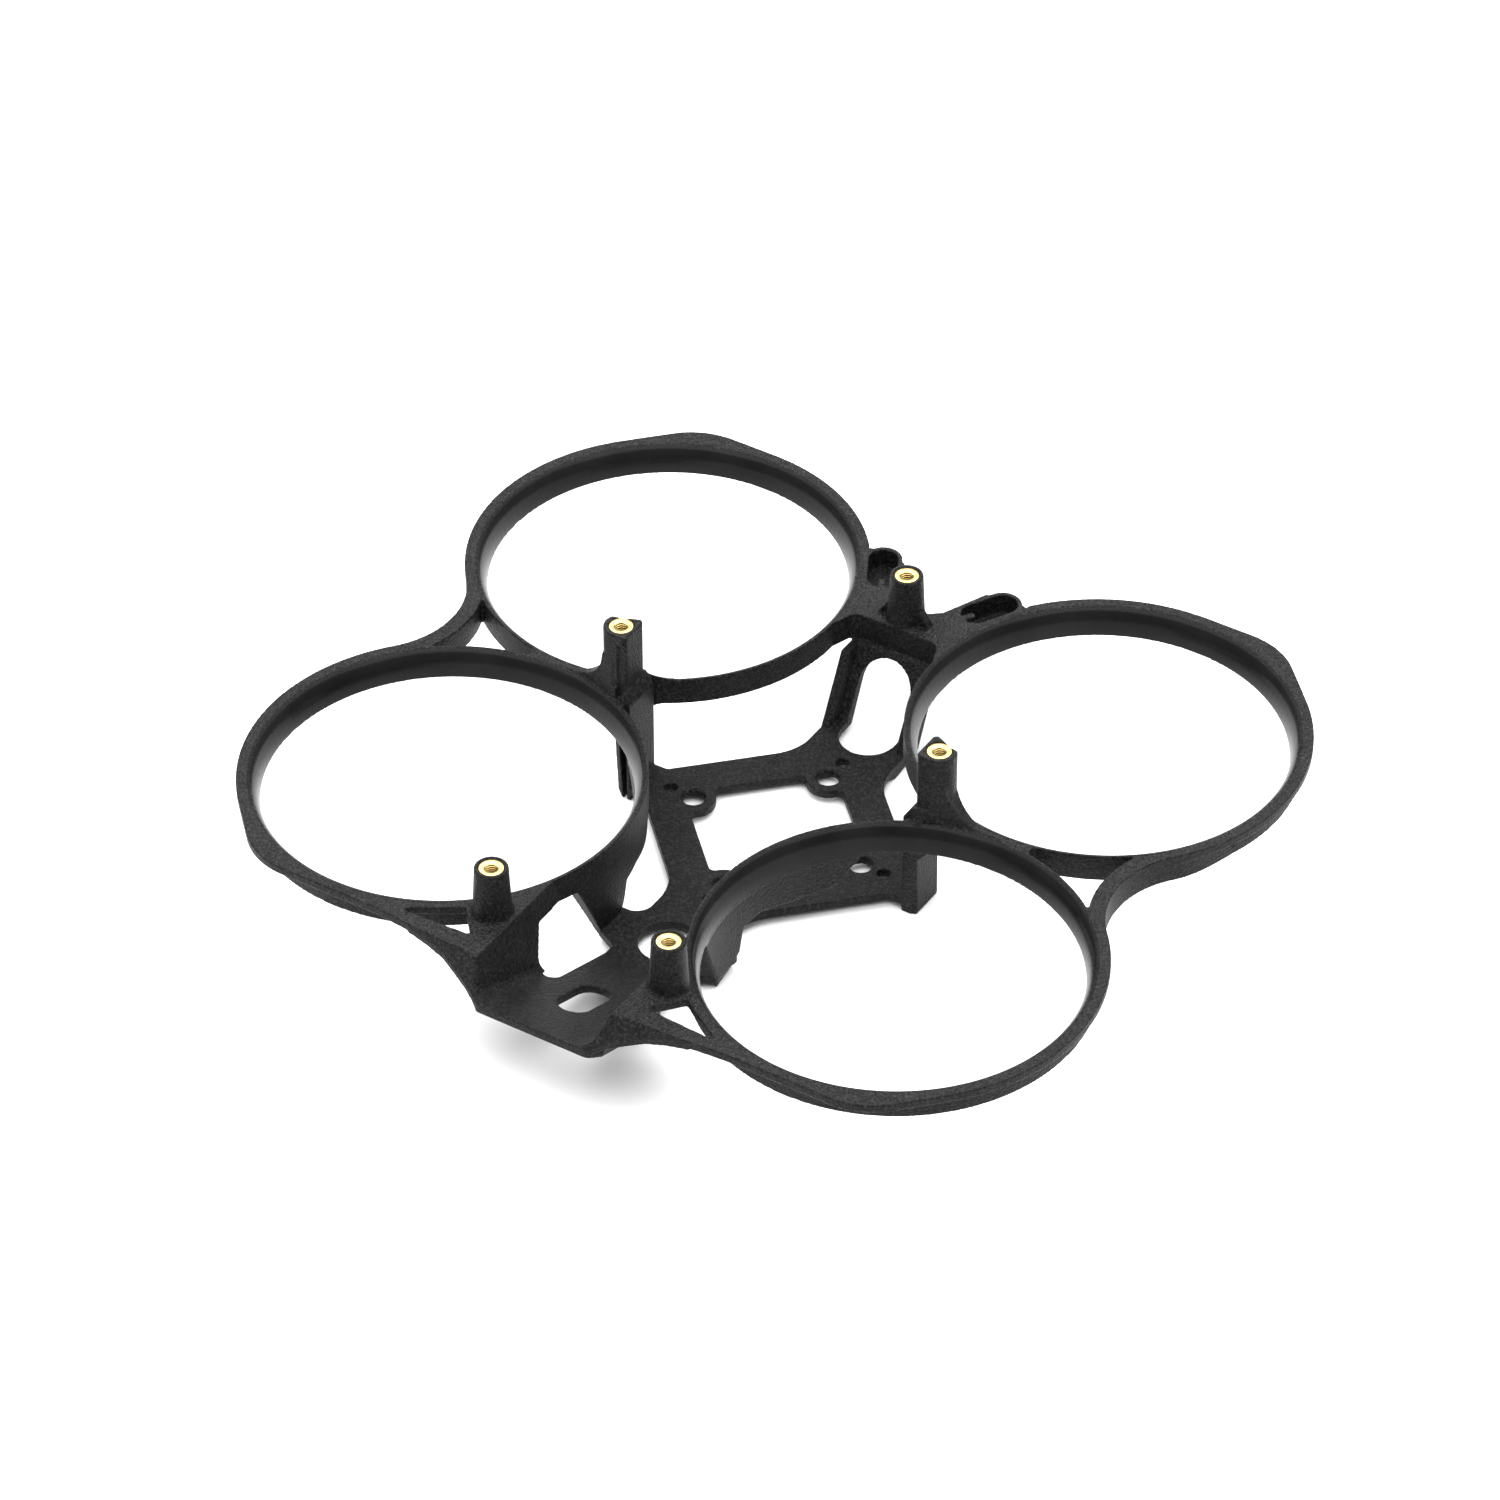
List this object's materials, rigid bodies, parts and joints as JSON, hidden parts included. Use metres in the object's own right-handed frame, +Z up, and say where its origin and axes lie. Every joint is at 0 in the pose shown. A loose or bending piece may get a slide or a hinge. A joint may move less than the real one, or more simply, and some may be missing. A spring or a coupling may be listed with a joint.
{
  "type": "ducted micro drone frame",
  "caption": "Bare ducted palm-size drone frame: ring ducts joined by a low electronics deck, a nose ramp for the camera, screw posts with brass threaded inserts.",
  "frame": {"origin": "on the surface that the feet stand on, under the middle of the bounding box", "axes": "+X is the drone's right side, +Y its nose, +Z up"},
  "size_m": [0.1338, 0.1226, 0.0285],
  "materials": {
    "moulding": "fine matte grain, coarser on the rims",
    "insert": "bright turned brass"
  },
  "bodies": {
    "root": {"front_right_duct": "moulding", "front_left_duct": "moulding", "rear_right_duct": "moulding", "rear_left_duct": "moulding", "right_side_web": "moulding", "left_side_web": "moulding", "right_mid_post": "moulding", "left_mid_post": "moulding", "electronics_deck": "moulding", "front_right_strut": "moulding", "front_left_strut": "moulding", "front_right_web": "moulding", "front_left_web": "moulding", "camera_cradle": "moulding", "rear_bridge": "moulding", "rear_wall": "moulding", "rear_post": "moulding", "front_right_post": "moulding", "front_left_post": "moulding", "front_right_insert": "insert", "front_left_insert": "insert", "mid_right_insert": "insert", "mid_left_insert": "insert", "rear_insert": "insert"}
  },
  "joints": []
}
